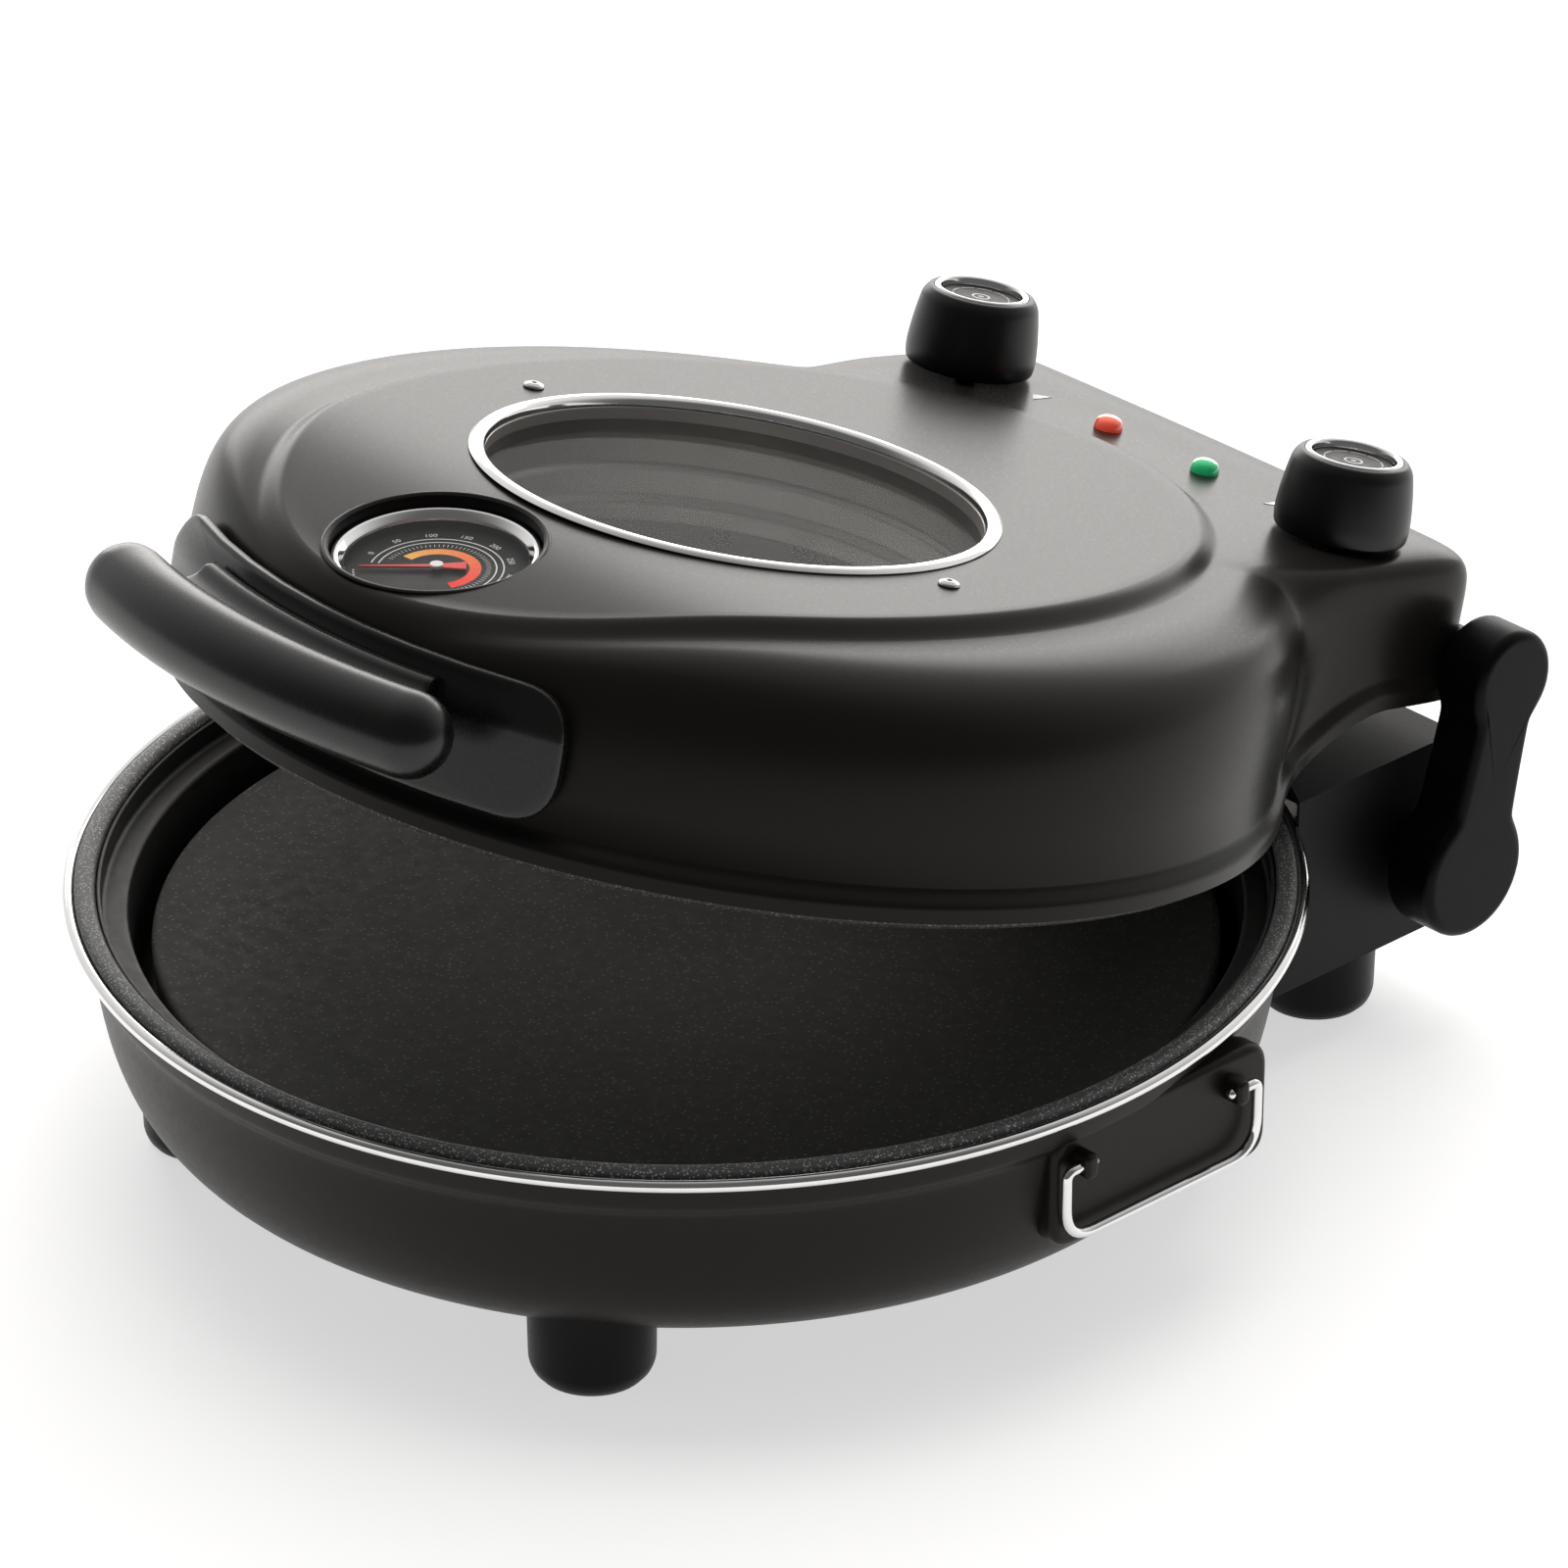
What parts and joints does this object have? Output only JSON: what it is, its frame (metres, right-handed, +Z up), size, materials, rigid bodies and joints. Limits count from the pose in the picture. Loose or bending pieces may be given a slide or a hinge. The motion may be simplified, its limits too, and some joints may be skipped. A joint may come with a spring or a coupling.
{
  "type": "electric pizza maker",
  "caption": "Round countertop pizza oven with a hinged domed lid, window, dial gauge, rear control console, curved front handle and side bail handles.",
  "frame": {"origin": "under the middle of the whole object's footprint, on the surface that the feet stand on, with the lid held open as stored", "axes": "+X to the right-hand side, -Y to the front with the handle, +Y to the hinge, +Z up"},
  "size_m": [0.355, 0.4042, 0.2138],
  "materials": {
    "base_paint": "satin",
    "cover_steel": "matte",
    "screws": "plain",
    "chrome_trim": "polished",
    "speckled_enamel": "speckled satin enamel",
    "pan_coating": "non-stick coating",
    "stone": null,
    "plain_steel": "plain",
    "heater_tube": "dark oxidised",
    "black_plastic": "satin",
    "inlet_plastic": "matte",
    "pale_plastic": "matte",
    "foot_plastic": "satin",
    "pale_rubber": "pale matte",
    "chrome_wire": "polished",
    "bush_brass": "plain",
    "arm_plastic": "satin black",
    "lid_paint": "satin warm gunmetal",
    "reflector": "bright sheet",
    "well_steel": "dull sheet",
    "tinted_glass": "dark tinted",
    "clear_glass": "clear",
    "gauge_black": "black",
    "gauge_face": "black with a printed scale",
    "knob_face": "printed black",
    "needle_red": "red paint",
    "knob_plastic": "satin black",
    "red_lens": "translucent red",
    "green_lens": "translucent green",
    "handle_plastic": "satin black"
  },
  "bodies": {
    "base": {"base_bowl": "base_paint", "bottom_cover": "cover_steel", "cover_screws": "screws", "rim_ring": "chrome_trim", "seat_ring": "speckled_enamel", "inner_pan": "pan_coating", "baking_stone": "stone", "stone_supports": "plain_steel", "lower_heating_element": "heater_tube", "lower_element_clips": "plain_steel", "rear_housing": "black_plastic", "rear_cover": "black_plastic", "rear_cover_screws": "screws", "power_inlet": "inlet_plastic", "terminal_block": "pale_plastic", "feet": "foot_plastic", "foot_pads": "pale_rubber", "foot_screws": "screws", "bail_plates": "base_paint", "hinge_pins": "plain_steel", "friction_washers": "plain_steel"},
    "right_bail": {"right_bail": "chrome_wire"},
    "left_bail": {"left_bail": "chrome_wire"},
    "lid": {"hinge_bushes": "bush_brass", "right_hinge_arm": "arm_plastic", "left_hinge_arm": "arm_plastic", "arm_screws": "screws", "lid_shell": "lid_paint", "lid_liner": "reflector", "lid_lip": "speckled_enamel", "upper_heating_element": "heater_tube", "upper_element_clips": "plain_steel", "console_floor": "cover_steel", "window_ring": "chrome_trim", "window_well": "well_steel", "window_glass": "tinted_glass", "inner_glass": "clear_glass", "window_rivets": "screws", "gauge_cup": "gauge_black", "gauge_bezel": "chrome_trim", "gauge_dial": "gauge_face", "gauge_stem": "plain_steel", "gauge_glass": "clear_glass", "timer": "pale_plastic", "thermostat": "pale_plastic", "red_lamp": "red_lens", "green_lamp": "green_lens", "lamp_holders": "pale_plastic", "handle_plate": "handle_plastic", "handle_grip": "handle_plastic", "handle_screws": "screws"},
    "timer_knob": {"timer_knob": "knob_plastic", "timer_knob_ring": "chrome_trim", "timer_knob_dial": "knob_face"},
    "thermostat_knob": {"thermostat_knob": "knob_plastic", "thermostat_knob_ring": "chrome_trim", "thermostat_knob_dial": "knob_face"},
    "gauge_needle": {"gauge_needle": "needle_red"}
  },
  "joints": [
    {"name": "lid_hinge", "type": "hinge", "parent": "base", "child": "lid", "pos_m": [0, 0.17319, 0.0543], "axis": [-1, 0, 0], "range_deg": [-13.1, 55]},
    {"name": "right_bail_hinge", "type": "hinge", "parent": "base", "child": "right_bail", "pos_m": [0.1745, -0.00781, 0.064], "axis": [0, -1, 0], "range_deg": [0, 95]},
    {"name": "left_bail_hinge", "type": "hinge", "parent": "base", "child": "left_bail", "pos_m": [-0.1745, -0.00781, 0.064], "axis": [0, 1, 0], "range_deg": [0, 95]},
    {"name": "timer_turn", "type": "hinge", "parent": "lid", "child": "timer_knob", "pos_m": [-0.077, 0.15722, 0.15114], "axis": [0, -0.2267, -0.974], "range_deg": [0, 300]},
    {"name": "thermostat_turn", "type": "hinge", "parent": "lid", "child": "thermostat_knob", "pos_m": [0.077, 0.15722, 0.15114], "axis": [0, -0.2267, -0.974], "range_deg": [0, 270]},
    {"name": "gauge_needle_turn", "type": "hinge", "parent": "lid", "child": "gauge_needle", "pos_m": [0, -0.11467, 0.21369], "axis": [0, 0, -1], "range_deg": [0, 270]}
  ]
}
